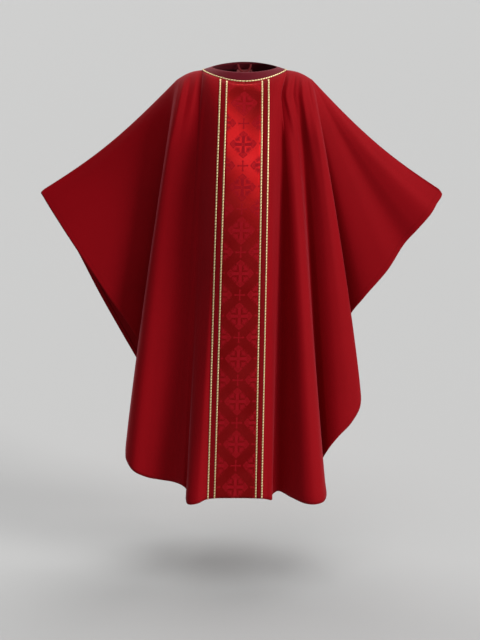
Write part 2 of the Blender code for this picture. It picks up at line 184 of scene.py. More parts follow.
# the braid, a row of beads of so many rows of points each
BRAID_SPAN = (0.003, 0.999)
BRAID_WIDTH = 0.0046
BRAID_HEIGHT = 0.0014
BRAID_OFF_CLOTH = 0.0011
BEAD = 0.0087
BEAD_ROWS = 6

# the damask's repeat, how it tightens down the band, and how far down the first flower is
REPEAT = 0.1225
REPEAT_EASE = 0.0429
FIRST_FLOWER = 0.0705

# ---- cross-sections round the neck, as (shares across the band, heights above it) ----
BINDING_SECTION = (
    (1.06, 0.95, 0.60, 0.25, 0.02, -0.06, -0.02, 0.25, 0.60, 0.95, 1.06),
    (0.0012, 0.0020, 0.0023, 0.0023, 0.0018, 0.0006, -0.0002, 0.0004, 0.0008, 0.0009, 0.0006),
)
FACING_SECTION = (
    (0.02, 0.30, 0.60, 0.90, 1.25, 1.25, 0.90, 0.60, 0.30, 0.02),
    (-0.0010, -0.0012, -0.0014, -0.0020, -0.0034, -0.0040, -0.0027, -0.0021, -0.0019, -0.0017),
)
NECK_BRAID_SECTION = (
    (1.08, 1.05, 1.00, 0.95, 0.92, 0.96, 1.0, 1.04),
    (0.0020, 0.0028, 0.0032, 0.0028, 0.0022, 0.0019, 0.0018, 0.0018),
)
NECK_TURNS = 240
NECK_BRAID_TURNS = 520
NECK_BRAID_BEAD = 4

# ---- the hem, one row per ray: station, x, y, z, and how late the fold opens below the shoulder ----
FRONT_LEFT = (
    (0.00, -0.029, -0.262, -1.272, 0.0), (0.43, 0.054, -0.262, -1.274, 0.0),
    (0.49, 0.068, -0.254, -1.279, 0.0), (0.53, 0.080, -0.250, -1.283, 1.2),
    (0.57, 0.085, -0.236, -1.286, 2.0), (0.62, 0.086, -0.206, -1.282, 2.0),
    (0.74, 0.103, -0.196, -1.274, 0.0), (0.92, 0.144, -0.236, -1.280, 0.0),
    (1.10, 0.185, -0.266, -1.288, 0.0), (1.22, 0.215, -0.268, -1.290, 0.0),
    (1.32, 0.240, -0.250, -1.289, 0.0), (1.38, 0.252, -0.215, -1.282, 0.0),
    (1.45, 0.250, -0.150, -1.256, 0.0), (1.52, 0.243, -0.098, -1.215, 0.0),
    (1.62, 0.262, -0.118, -1.165, 0.0),
    (1.74, 0.294, -0.126, -1.119, 0.0), (1.84, 0.333, -0.112, -1.080, 0.0),
    (1.91, 0.363, -0.078, -1.029, 0.0), (1.96, 0.346, -0.040, -0.962, 0.0),
    (2.00, 0.315, -0.020, -0.878, 0.0), (2.10, 0.322, -0.034, -0.769, 0.0),
    (2.28, 0.370, -0.066, -0.689, 0.0), (2.45, 0.439, -0.062, -0.606, 0.0),
    (2.62, 0.489, -0.044, -0.529, 0.0), (2.74, 0.530, -0.050, -0.480, 0.0),
    (2.86, 0.568, -0.044, -0.436, 0.0), (2.93, 0.588, -0.022, -0.408, 0.0),
    (2.97, 0.605, -0.002, -0.383, 0.0), (3.00, 0.595, 0.000, -0.367, 0.0),
)
FRONT_RIGHT = (
    (0.00, -0.029, -0.262, -1.272, 0.0), (0.43, -0.114, -0.262, -1.276, 0.0),
    (0.52, -0.143, -0.280, -1.283, 1.2), (0.60, -0.171, -0.272, -1.288, 1.6),
    (0.65, -0.179, -0.246, -1.280, 1.8), (0.70, -0.178, -0.212, -1.264, 1.6),
    (0.82, -0.189, -0.210, -1.252, 0.3), (1.02, -0.219, -0.186, -1.248, 0.0),
    (1.25, -0.258, -0.178, -1.244, 0.0), (1.48, -0.302, -0.186, -1.232, 0.0),
    (1.68, -0.342, -0.188, -1.211, 0.0), (1.82, -0.363, -0.165, -1.188, 0.0),
    (1.90, -0.370, -0.120, -1.175, 0.0), (1.96, -0.350, -0.050, -1.058, 0.0),
    (2.00, -0.305, -0.026, -0.941, 0.0), (2.18, -0.330, -0.050, -0.833, 0.0),
    (2.45, -0.426, -0.072, -0.673, 0.0), (2.66, -0.524, -0.056, -0.525, 0.0),
    (2.85, -0.589, -0.026, -0.429, 0.0), (2.95, -0.617, -0.004, -0.388, 0.0),
    (2.98, -0.623, -0.001, -0.377, 0.0), (3.00, -0.614, 0.000, -0.367, 0.0),
)
BACK_LEFT = (
    (0.00, 0.000, 0.205, -1.300, 0.0), (0.43, 0.081, 0.205, -1.300, 0.0),
    (0.55, 0.112, 0.200, -1.298, 0.0), (0.62, 0.110, 0.150, -1.296, 0.8),
    (0.85, 0.135, 0.120, -1.290, 0.8), (1.20, 0.195, 0.185, -1.275, 0.0),
    (1.45, 0.235, 0.160, -1.235, 0.0), (1.60, 0.225, 0.100, -1.170, 0.0),
    (1.80, 0.262, 0.115, -1.090, 0.0), (1.92, 0.310, 0.085, -1.020, 0.0),
    (2.00, 0.285, 0.035, -0.930, 0.0),
    (2.18, 0.318, 0.048, -0.800, 0.0), (2.45, 0.410, 0.058, -0.665, 0.0),
    (2.65, 0.490, 0.042, -0.550, 0.0), (2.80, 0.544, 0.026, -0.466, 0.0),
    (2.92, 0.593, 0.010, -0.403, 0.0), (2.97, 0.606, 0.001, -0.383, 0.0),
    (3.00, 0.596, 0.000, -0.366, 0.0),
)
BACK_RIGHT = (
    (0.00, 0.000, 0.205, -1.300, 0.0), (0.43, -0.081, 0.205, -1.300, 0.0),
    (0.54, -0.110, 0.202, -1.298, 0.0), (0.62, -0.112, 0.152, -1.294, 0.8),
    (0.88, -0.145, 0.118, -1.286, 0.8), (1.25, -0.215, 0.178, -1.268, 0.0),
    (1.50, -0.262, 0.150, -1.230, 0.0), (1.66, -0.255, 0.092, -1.185, 0.0),
    (1.82, -0.290, 0.110, -1.140, 0.0), (1.93, -0.325, 0.080, -1.090, 0.0),
    (2.00, -0.292, 0.032, -1.020, 0.0),
    (2.18, -0.334, 0.050, -0.935, 0.0), (2.35, -0.394, 0.055, -0.825, 0.0),
    (2.50, -0.455, 0.045, -0.705, 0.0), (2.66, -0.530, 0.032, -0.545, 0.0),
    (2.85, -0.590, 0.018, -0.432, 0.0), (2.95, -0.617, 0.004, -0.388, 0.0),
    (2.98, -0.623, 0.001, -0.377, 0.0), (3.00, -0.614, 0.000, -0.367, 0.0),
)


# ==== camera, light, floor

CAMERA_LENS = 83.4
CAMERA_SENSOR = 36.0
CAMERA_PLACE = (-0.0135, -4.5, 0.35)
CAMERA_DOWN = 14.09
FLOOR_BELOW = 0.27
FLOOR_SIZE = 160.0
FLOOR_COLOUR = (0.375, 0.378, 0.380, 1.0)
WORLD_COLOUR = (0.97, 0.99, 1.0, 1.0)
WORLD_STRENGTH = 0.20
DAYLIGHT = (1.0, 0.985, 0.965)
LAMPLIGHT = (1.0, 0.99, 0.98)
SUNS = (
    ("key", 57.0, 19.5, 3.0, 24.0, DAYLIGHT),
    ("ceiling", 140.0, 60.0, 1.6, 40.0, LAMPLIGHT),
    ("back_fill", 215.0, 40.0, 1.3, 50.0, DAYLIGHT),
    ("overhead", 10.0, 72.0, 1.1, 40.0, LAMPLIGHT),
)


def make_camera():
    data = bpy.data.cameras.new("camera")
    data.lens = CAMERA_LENS
    data.sensor_width = CAMERA_SENSOR
    data.clip_end = 200.0
    camera = bpy.data.objects.new("camera", data)
    camera.location = CAMERA_PLACE
    camera.rotation_euler = (math.radians(90.0 - CAMERA_DOWN), 0.0, 0.0)
    bpy.context.scene.collection.objects.link(camera)
    bpy.context.scene.camera = camera


def sun(name, azimuth, height, strength, spread, colour):
    """A far light: azimuth in degrees from the front towards +X, height in degrees above the ground."""
    data = bpy.data.lights.new(name, "SUN")
    data.energy = strength
    data.angle = math.radians(spread)
    data.color = colour
    light = bpy.data.objects.new(name, data)
    turn, rise = math.radians(azimuth), math.radians(height)
    way = Vector((math.sin(turn) * math.cos(rise), -math.cos(turn) * math.cos(rise), math.sin(rise)))
    light.rotation_euler = way.to_track_quat("Z", "Y").to_euler()
    bpy.context.scene.collection.objects.link(light)
    return light


def make_light():
    world = bpy.data.worlds.new("studio")
    world.use_nodes = True
    background = world.node_tree.nodes["Background"]
    background.inputs["Color"].default_value = WORLD_COLOUR
    background.inputs["Strength"].default_value = WORLD_STRENGTH
    bpy.context.scene.world = world
    lights = {values[0]: sun(*values) for values in SUNS}
    lights["overhead"].visible_glossy = False
    bpy.context.scene.view_settings.view_transform = "Standard"


def make_floor():
    """A pale floor well below the hem, left out of reflections so that it doesn't light up the satin."""
    level = CAD_BOX[0][2] - FLOOR_BELOW
    bpy.ops.mesh.primitive_plane_add(size=FLOOR_SIZE, location=(0.0, 0.0, level))
    floor = bpy.context.object
    floor.name = "studio_floor"
    floor.visible_glossy = False
    made = bpy.data.materials.new("studio_floor")
    made.use_nodes = True
    shader = made.node_tree.nodes["Principled BSDF"]
    shader.inputs["Base Color"].default_value = FLOOR_COLOUR
    shader.inputs["Roughness"].default_value = 0.9
    floor.data.materials.append(made)


# ==== the shape of the cloth

def smooth(value):
    """A soft step from 0 at 0 to 1 at 1."""
    value = np.clip(value, 0.0, 1.0)
    return value * value * (3.0 - 2.0 * value)


def hermite(share, here, leaving, there, arriving):
    """A smooth curve from one value to the next, with the slopes that it leaves and arrives with."""
    square, cube = share ** 2, share ** 3
    return ((2 * cube - 3 * square + 1) * here + (cube - 2 * square + share) * leaving
            + (3 * square - 2 * cube) * there + (cube - square) * arriving)


def between_knots(value, knots):
    """Reads a table of (place, value) along a smooth curve, with no crease or overshoot at a knot."""
    places, values = (np.array(column) for column in zip(*knots))
    gaps = np.diff(places)
    rises = np.diff(values) / gaps
    slopes = np.zeros(len(places))
    same_way = rises[:-1] * rises[1:] > 0
    slopes[1:-1][same_way] = 2.0 / (1.0 / rises[:-1][same_way] + 1.0 / rises[1:][same_way])
    low = np.clip(np.searchsorted(places, value, side="right") - 1, 0, len(places) - 2)
    share = np.clip((value - places[low]) / gaps[low], 0.0, 1.0)
    run = gaps[low]
    return hermite(share, values[low], run * slopes[low], values[low + 1], run * slopes[low + 1])


def neck_points(turn, across):
    """Points on the neck band: turn 0 is the centre front, pi the centre back; across 0 inner, 1 outer."""
    ahead = np.cos(turn)
    in_front = ahead > 0
    share = ahead * ahead
    run = BAND_WIDTH * (1.0 - BAND_NARROWING * share)
    reach = np.where(in_front, NECK_FRONT, NECK_BACK)
    rise = np.where(in_front, -NECK_DROP_FRONT, NECK_RISE_BACK)
    drop = np.where(in_front, BAND_DROP[0], BAND_DROP[2])
    x = (NECK_HALF_WIDTH + run * across) * np.sin(turn)
    y = -(reach + run * across) * ahead
    z = NECK_RISE_SIDE + rise * share - across * (BAND_DROP[1] + (drop - BAND_DROP[1]) * share)
    return np.stack([x, y, z], axis=-1)


def top_points(station, side, front):
    """Where rays start: along the neck band's outer edge, then along the shoulder seam."""
    turn = np.clip(station, 0.0, 1.0) * math.pi / 2
    around = neck_points(turn if front else math.pi - turn, np.ones_like(turn))
    neck_side = neck_points(np.array([math.pi / 2]), np.ones(1))[0]
    share = np.clip(station - 1.0, 0.0, 1.0)[:, None]
    seam = neck_side * (1.0 - share) + np.array(SHOULDER) * share
    seam[:, 2] += SEAM_RISE * np.sin(np.pi * share[:, 0])
    points = np.where(station[:, None] < 1.0, around, seam)
    points[:, 0] = side * np.abs(points[:, 0])
    return points


class Quarter:
    """One quarter of the garment: a hem curve, and the cloth that hangs from the top line to it."""

    def __init__(self, rows, side, front, beyond):
        self.side, self.front = side, front
        self.rows = np.array(rows)
        start = np.array(beyond)
        start[0] = -start[0]
        self.knots = np.vstack([start, self.rows, 2 * self.rows[-1] - self.rows[-2]])
        chords = np.linalg.norm(np.diff(self.knots[:, 1:4], axis=0), axis=1)
        self.steps = np.sqrt(np.maximum(chords, 0.004))
        steady = self.rows[:, 4] == 0.0
        self.steady_at = np.nonzero(steady)[0]
        self.steady_rows = self.rows[steady]

    def row_of(self, station):
        """The fractional row of each station."""
        return np.interp(station, self.rows[:, 0], np.arange(len(self.rows)))

    def hem(self, at):
        """The hem's values at fractional rows, on a smooth curve whose knots are spaced by chord."""
        i = np.clip(at.astype(int), 0, len(self.rows) - 2)
        share = (at - i)[:, None]
        before, here, after = self.knots[i], self.knots[i + 1], self.knots[i + 2]
        beyond = self.knots[np.minimum(i + 3, len(self.knots) - 1)]
        gap_before, gap = self.steps[i][:, None], self.steps[i + 1][:, None]
        gap_after = self.steps[np.minimum(i + 2, len(self.steps) - 1)][:, None]
        rise_before, rise = (here - before) / gap_before, (after - here) / gap
        rise_after = (beyond - after) / gap_after
        leaving = (rise_before * gap + rise * gap_before) / (gap + gap_before)
        arriving = (rise * gap_after + rise_after * gap) / (gap + gap_after)
        return hermite(share, here, gap * leaving, after, gap * arriving)

    def points(self, station, down):
        """Cloth points for matching arrays of stations and of shares of the way down."""
        at = self.row_of(station)
        values = self.hem(at)
        foot = values[:, 1:4]
        late = np.maximum(values[:, 4], 0.0)
        start = top_points(station, self.side, self.front)
        up, t = 1.0 - down, down[:, None]
        point = start * (1.0 - t) + foot * t
        for axis in (0, 1):
            settled = np.interp(at, self.steady_at, self.steady_rows[:, axis + 1])
            point[:, axis] -= (foot[:, axis] - settled) * (down - down ** (1.0 + late))
        point[:, 1] -= start[:, 1] * (up - up ** between_knots(station, NECK_EASE))
        point[:, 1] += (-1.0 if self.front else 1.0) * self.body_lift(station, down, foot - start)
        middle = np.sin(np.pi * np.clip(down, 0.0, 1.0))
        point[:, 0] += self.side * between_knots(station, SIDE_SWELL[self.side]) * np.sqrt(middle)
        if self.front and self.side > 0:
            begun = smooth((down - CHEST_FOLD_START) / CHEST_FOLD_RUN)
            point[:, 1] += between_knots(station, CHEST_FOLD) * np.sqrt(middle) * begun
            fading = np.exp(-down / LEAN_REACH) * smooth(down / LEAN_START)
            point[:, 0] += between_knots(station, SHOULDER_LEAN) * fading
        if self.front:
            point[:, 1] -= self.creases(station, down)
        point[:, 2] -= EDGE_SAG * np.sin(np.pi * down) * smooth(station - 2.0)
        return point

    def body_lift(self, station, down, ray):
        """How far the body and the arm inside push the cloth out. It rounds off over the drop below the top
        line, which for the wing is measured square to the wing's top edge."""
        length = down * np.linalg.norm(ray, axis=1)
        edge = self.rows[-1, 1:4] - np.array([self.side * SHOULDER[0], 0.0, SHOULDER[2]])
        across = np.abs(edge[0] * ray[:, 2] - edge[2] * ray[:, 0])
        across = across / (np.hypot(edge[0], edge[2]) * np.hypot(ray[:, 0], ray[:, 2]))
        drop = length * (1.0 + (across - 1.0) * smooth((station - 1.6) / 0.4))
        lift_table, round_table, ease_table = FRONT_SHAPE if self.front else BACK_SHAPE
        rounding = np.minimum(1.0, drop / between_knots(station, round_table))
        profile = (1.0 - (1.0 - rounding) ** 2) ** between_knots(station, ease_table)
        return between_knots(station, lift_table) * (1.0 - down) * profile

    def creases(self, station, down):
        """Soft creases that run down and outwards from the shoulder seam."""
        height = np.zeros(len(station))
        for start, drift, width, rise, reach in CREASES[self.side]:
            across = (station - start - drift * down) / width
            fading = np.exp(-(down / reach) ** 2) * smooth(down / CREASE_START)
            height += rise * np.exp(-across ** 2) * fading
        return height

    def grid(self, stations, downs):
        """An array of points, one column for each station."""
        s, d = np.meshgrid(stations, downs, indexing="ij")
        return self.points(s.ravel(), d.ravel()).reshape(len(stations), len(downs), 3)


def grid_normals(grid):
    across = np.gradient(grid, axis=0)
    along = np.gradient(grid, axis=1)
    normal = np.cross(across, along)
    return normal / np.maximum(np.linalg.norm(normal, axis=2, keepdims=True), 1e-12)


def facing_out(normal, front):
    """Turns normals round if they point into the garment."""
    wanted = -1.0 if front else 1.0
    return normal if normal[..., 1].sum() * wanted > 0 else -normal


def run_along(points):
    """The distance travelled along a line of points, from 0 at the first."""
    return np.concatenate([[0.0], np.cumsum(np.linalg.norm(np.diff(points, axis=0), axis=1))])


QUARTERS = {
    ("front", 1): Quarter(FRONT_LEFT, 1, True, FRONT_RIGHT[1]),
    ("front", -1): Quarter(FRONT_RIGHT, -1, True, FRONT_LEFT[1]),
    ("back", 1): Quarter(BACK_LEFT, 1, False, BACK_RIGHT[1]),
    ("back", -1): Quarter(BACK_RIGHT, -1, False, BACK_LEFT[1]),
}


# ==== meshes

def mesh_of(bm, name, material):
    """Turns a bmesh into an object of its own."""
    mesh = bpy.data.meshes.new(name)
    bm.to_mesh(mesh)
    bm.free()
    mesh.materials.append(material)
    thing = bpy.data.objects.new(name, mesh)
    bpy.context.scene.collection.objects.link(thing)
    return thing


def closed_mesh(bm, name, material):
    """The same for a closed skin, whose faces are first turned to look outwards."""
    bmesh.ops.recalc_face_normals(bm, faces=bm.faces)
    if bm.calc_volume(signed=True) < 0:
        bmesh.ops.reverse_faces(bm, faces=bm.faces)
    return mesh_of(bm, name, material)


def shell(name, grid, uv, material, normals, thickness=0.0, bulge=None):
    """A closed skin over a grid of points: the grid is its middle, or with bulge its inner face."""
    outer = grid + normals * (thickness / 2 if bulge is None else bulge[..., None])
    inner = grid - normals * (thickness / 2 if bulge is None else 0.0)
    wide, tall = grid.shape[:2]
    bm = bmesh.new()
    layer = bm.loops.layers.uv.new("UVMap")
    low, high = [[[bm.verts.new(p) for p in column] for column in sheet] for sheet in (inner, outer)]

    def face(corners, spots):
        made = bm.faces.new(corners)
        for loop, (i, j) in zip(made.loops, spots):
            loop[layer].uv = uv[i, j]
        made.smooth = True

    for i in range(wide - 1):
        k = i + 1
        for j in range(tall - 1):
            m = j + 1
            face([high[i][j], high[k][j], high[k][m], high[i][m]], ((i, j), (k, j), (k, m), (i, m)))
            face([low[i][j], low[i][m], low[k][m], low[k][j]], ((i, j), (i, m), (k, m), (k, j)))
        for j in (0, tall - 1):
            face([low[i][j], low[k][j], high[k][j], high[i][j]], ((i, j), (k, j), (k, j), (i, j)))
    for i in (0, wide - 1):
        for j in range(tall - 1):
            m = j + 1
            face([low[i][j], low[i][m], high[i][m], high[i][j]], ((i, j), (i, m), (i, m), (i, j)))
    return closed_mesh(bm, name, material)


def metres_along(grid):
    """The distance travelled across and down a grid, in metres, for a material's weave."""
    across = np.linalg.norm(np.diff(grid, axis=0), axis=2).mean(axis=1)
    down = np.linalg.norm(np.diff(grid, axis=1), axis=2)
    u = np.concatenate([[0.0], np.cumsum(across)])[:, None] + np.zeros(grid.shape[:2])
    v = np.concatenate([np.zeros((grid.shape[0], 1)), np.cumsum(down, axis=1)], axis=1)
    return np.stack([u, -v], axis=-1)


# ==== materials

class Maths:
    """Writes a formula as Math nodes: each value is a socket, and the usual signs join them."""

    def __init__(self, tree, socket):
        self.tree, self.socket = tree, socket

    def _node(self, operation, *others):
        node = self.tree.nodes.new("ShaderNodeMath")
        node.operation = operation
        for slot, value in zip(node.inputs, (self, *others)):
            if isinstance(value, Maths):
                self.tree.links.new(value.socket, slot)
            else:
                slot.default_value = value
        return Maths(self.tree, node.outputs[0])

    def __add__(self, other):
        return self._node("ADD", other)

    def __sub__(self, other):
        return self._node("SUBTRACT", other)

    def __mul__(self, other):
        return self._node("MULTIPLY", other)

    def __truediv__(self, other):
        return self._node("DIVIDE", other)

    def size(self):
        return self._node("ABSOLUTE")

    def least(self, other):
        return self._node("MINIMUM", other)

    def most(self, other):
        return self._node("MAXIMUM", other)

    def wave(self):
        return self._node("SINE")

    def root(self):
        return self._node("SQRT")

    def around(self, whole):
        """Wrapped to run from minus half of whole to plus half."""
        return self._node("WRAP", whole / 2, -whole / 2)

    def below(self, edge, soft=0.004):
        """1 where the value is under the edge, 0 where it is over, with a soft step."""
        node = self.tree.nodes.new("ShaderNodeMapRange")
        node.interpolation_type = "SMOOTHSTEP"
        self.tree.links.new(self.socket, node.inputs["Value"])
        node.inputs["From Min"].default_value = edge - soft
        node.inputs["From Max"].default_value = edge + soft
        node.inputs["To Min"].default_value = 1.0
        node.inputs["To Max"].default_value = 0.0
        return Maths(self.tree, node.outputs[0])

    def between(self, low, high, soft=0.004):
        return self.below(high, soft) - self.below(low, soft)


def new_material(name, roughness=0.5, metallic=0.0):
    made = bpy.data.materials.new(name)
    made.use_nodes = True
    tree = made.node_tree
    shader = tree.nodes["Principled BSDF"]
    shader.inputs["Roughness"].default_value = roughness
    shader.inputs["Metallic"].default_value = metallic
    return made, tree, shader


def uv_parts(tree):
    """The two parts of a piece's UV map: metres across and along it, or repeats for the damask."""
    coordinates = tree.nodes.new("ShaderNodeUVMap")
    coordinates.uv_map = "UVMap"
    parts = tree.nodes.new("ShaderNodeSeparateXYZ")
    tree.links.new(coordinates.outputs["UV"], parts.inputs[0])
    return Maths(tree, parts.outputs["X"]), Maths(tree, parts.outputs["Y"])


def noise(tree, scale, detail=3.0):
    """Cloudy noise of so many lumps to the metre, fixed to the object."""
    node = tree.nodes.new("ShaderNodeTexNoise")
    node.inputs["Scale"].default_value = scale
    node.inputs["Detail"].default_value = detail
    place = tree.nodes.new("ShaderNodeTexCoord").outputs["Object"]
    tree.links.new(place, node.inputs["Vector"])
    return Maths(tree, node.outputs["Fac"])


def mix(tree, share, first, second):
    node = tree.nodes.new("ShaderNodeMix")
    node.data_type = "RGBA"
    tree.links.new(share.socket, node.inputs["Factor"])
    for slot, value in ((node.inputs[6], first), (node.inputs[7], second)):
        if isinstance(value, tuple):
            slot.default_value = (*value, 1.0)
        else:
            tree.links.new(value, slot)
    return node.outputs[2]


def bump(tree, shader, height, strength, distance):
    node = tree.nodes.new("ShaderNodeBump")
    node.inputs["Strength"].default_value = strength
    node.inputs["Distance"].default_value = distance
    tree.links.new(height.socket, node.inputs["Height"])
    tree.links.new(node.outputs[0], shader.inputs["Normal"])


def sheen(shader, weight, roughness, tint):
    shader.inputs["Sheen Weight"].default_value = weight
    shader.inputs["Sheen Roughness"].default_value = roughness
    shader.inputs["Sheen Tint"].default_value = (*tint, 1.0)


def weave(u, v, threads):
    """A plain weave of so many threads to the metre, from 0 in the gaps to 1 on the threads."""
    turn = threads * math.pi
    warp = (u * turn).wave().size()
    weft = (v * turn).wave().size()
    return (warp + weft) * 0.5


def twill(u, v, threads):
    """A fine slanting rib."""
    return ((u + v) * (threads * 2 * math.pi)).wave() * 0.5 + 0.5


def crimson_cloth():
    """Matt wool-like cloth: a fine twill, uneven threads, and a faint change of tone."""
    made, tree, shader = new_material("crimson_cloth")
    u, v = uv_parts(tree)
    rib = twill(u, v, 420.0)
    slub = noise(tree, 260.0, 2.0)
    cloud = noise(tree, 7.0)
    tone = (rib * 0.22 + slub * 0.28 + cloud * 0.5).between(0.30, 2.0, 0.22)
    colour = mix(tree, tone, (0.152, 0.0002, 0.0018), (0.214, 0.0005, 0.0036))
    tree.links.new(colour, shader.inputs["Base Color"])
    roughness = slub * 0.10 + 0.72
    tree.links.new(roughness.socket, shader.inputs["Roughness"])
    shader.inputs["Specular IOR Level"].default_value = 0.08
    sheen(shader, 0.24, 0.30, (1.0, 0.26, 0.32))
    bump(tree, shader, rib * 0.6 + slub * 0.6 + cloud * 1.5, 0.25, 0.0006)
    return made


def maroon_cloth():
    """The darker plain-woven cloth of the neck band."""
    made, tree, shader = new_material("maroon_cloth", 0.75)
    u, v = uv_parts(tree)
    threads = weave(u, v, 800.0)
    cloud = noise(tree, 30.0)
    colour = mix(tree, threads * 0.5 + cloud * 0.5, (0.070, 0.0016, 0.0065), (0.120, 0.0040, 0.0110))
    tree.links.new(colour, shader.inputs["Base Color"])
    shader.inputs["Specular IOR Level"].default_value = 0.15
    sheen(shader, 0.15, 0.4, (1.0, 0.35, 0.40))
    bump(tree, shader, threads + cloud, 0.3, 0.0004)
    return made


def leaflet(p, q, angle, start, end, half_width):
    """1 inside a pointed leaf that lies at an angle from the arm, between two distances from the centre."""
    turn = math.radians(angle)
    along = p * math.cos(turn) + q * math.sin(turn)
    off = (q * math.cos(turn) - p * math.sin(turn)).size()
    middle, half_length = (start + end) / 2, (end - start) / 2
    return (off / half_width + (along - middle).size() / half_length).below(1.0, 0.10)


def damask_figure(u, v):
    """1 on the figure of the damask: a large cross with pointed ends and leaves between its arms, and a
    small slender cross, each set halfway between four of the other. Lengths are shares of the repeat."""
    wide = u.around(1.0).size()
    tall = v.around(1.0).size()
    near = (wide + tall).below(0.5, 0.0005)
    far = near * -1.0 + 1.0
    a = wide * near + (wide * -1.0 + 0.5) * far
    b = tall * near + (tall * -1.0 + 0.5) * far
    p, q = a.most(b), a.least(b)

    kite = (p - 0.234).size() / 0.088 + q / 0.108
    outline = kite.below(1.0, 0.05) - kite.below(0.66, 0.05)
    core = kite.below(0.48, 0.05) - kite.between(0.14, 0.28, 0.05)
    arm = (q - p * 0.06).below(0.030, 0.003) * p.below(0.200, 0.004)
    heart = (p + q).below(0.080, 0.004)
    hub = p.between(0.020, 0.030, 0.002)
    leaves = (leaflet(p, q, 45.0, 0.085, 0.255, 0.017)
              .most(leaflet(p, q, 36.0, 0.120, 0.275, 0.014))
              .most(leaflet(p, q, 27.0, 0.140, 0.240, 0.012)))
    large = outline.most(core).most((arm.most(heart)) - hub).most(leaves)

    x = (p * -1.0 + 0.5).size()
    bar = q.below(0.0125, 0.003) * x.below(0.110, 0.003)
    away = x - 0.108
    ball = (away * away + q * q).root().below(0.0225, 0.003)
    return large.most(bar).most(ball)


def red_damask():
    """Satin ground that shines, and a duller woven figure."""
    made, tree, shader = new_material("red_damask")
    u, v = uv_parts(tree)
    figure = damask_figure(u, v)
    ribs = (v * (2 * math.pi * 150.0)).wave() * 0.5 + 0.5
    cloud = noise(tree, 14.0)
    slub = noise(tree, 420.0, 2.0)
    ground = mix(tree, cloud, (0.390, 0.0055, 0.0070), (0.545, 0.0180, 0.0205))
    raised = mix(tree, ribs * 0.5 + slub * 0.5, (0.220, 0.0022, 0.0062), (0.305, 0.0062, 0.0125))
    tree.links.new(mix(tree, figure, ground, raised), shader.inputs["Base Color"])
    tree.links.new((figure * 0.26 + slub * 0.06 + 0.50).socket, shader.inputs["Roughness"])
    tree.links.new((figure * -0.80 + 0.80).socket, shader.inputs["Metallic"])
    shader.inputs["Specular IOR Level"].default_value = 0.05
    shader.inputs["Anisotropic"].default_value = 0.96
    tangent = tree.nodes.new("ShaderNodeTangent")
    tangent.direction_type = "UV_MAP"
    tangent.uv_map = "UVMap"
    tree.links.new(tangent.outputs[0], shader.inputs["Tangent"])
    bump(tree, shader, figure * 0.7 + ribs * 0.2 + cloud * 0.8, 0.22, 0.0005)
    return made


def crimson_satin():
    """The plain strips between the braids."""
    made, tree, shader = new_material("crimson_satin")
    u, _ = uv_parts(tree)
    warp = (u * (2 * math.pi * 700.0)).wave() * 0.5 + 0.5
    cloud = noise(tree, 20.0)
    colour = mix(tree, warp * 0.4 + cloud * 0.6, (0.125, 0.0003, 0.0022), (0.185, 0.0010, 0.0040))
    tree.links.new(colour, shader.inputs["Base Color"])
    tree.links.new((warp * 0.12 + 0.56).socket, shader.inputs["Roughness"])
    shader.inputs["Specular IOR Level"].default_value = 0.06
    sheen(shader, 0.05, 0.35, (1.0, 0.25, 0.30))
    bump(tree, shader, warp * 0.4 + cloud, 0.25, 0.0004)
    return made


def gold_braid():
    """Metal thread laid slantwise over a cord, dark where one lay meets the next."""
    made, tree, shader = new_material("gold_braid", metallic=0.50)
    u, v = uv_parts(tree)
    lay = (v * (2 * math.pi / BEAD) + u * 300.0).wave() * 0.5 + 0.5
    thread = (v * (2 * math.pi * 8.0 / BEAD) - u * 900.0).wave() * 0.5 + 0.5
    fleck = noise(tree, 700.0, 2.0)
    dark = (lay * 0.80 + fleck * 0.20).below(0.30, 0.14)
    gold = mix(tree, thread * 0.6 + fleck * 0.4, (0.76, 0.55, 0.22), (1.00, 0.88, 0.54))
    tree.links.new(mix(tree, dark, gold, (0.28, 0.13, 0.035)), shader.inputs["Base Color"])
    tree.links.new((fleck * 0.2 + 0.30).socket, shader.inputs["Roughness"])
    bump(tree, shader, lay + thread * 0.5 + fleck * 0.4, 0.4, 0.0004)
    return made


def woven_tape(name, roughness, threads_to_metre, gap_colour, thread_colour, thread_height):
    """A plain-woven tape, darker in the gaps between its threads."""
    made, tree, shader = new_material(name, roughness)
    u, v = uv_parts(tree)
    threads = weave(u, v, threads_to_metre)
    tree.links.new(mix(tree, threads, gap_colour, thread_colour), shader.inputs["Base Color"])
    bump(tree, shader, threads, 0.4, thread_height)
    return made


# ==== pieces

HANDS = {1: "left", -1: "right"}


def on_garment(piece, slot, *nodes):
    """Puts a piece in the place of the frame's nodes, on the body of the garment."""
    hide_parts(*nodes)
    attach(piece, "garment")
    return piece


def spread_stations(*quarters):
    """Stations for the columns: every fold of both quarters, each span cut into equal steps."""
    marks = sorted({float(s) for quarter in quarters for s in quarter.rows[:, 0]})
    pieces = []
    for low, high in zip(marks, marks[1:]):
        count = COLUMNS_PER_FOLD if high - low > 0.02 else 3
        pieces.append(np.linspace(low, high, count, endpoint=False))
    return np.concatenate(pieces + [np.array([marks[-1]])])


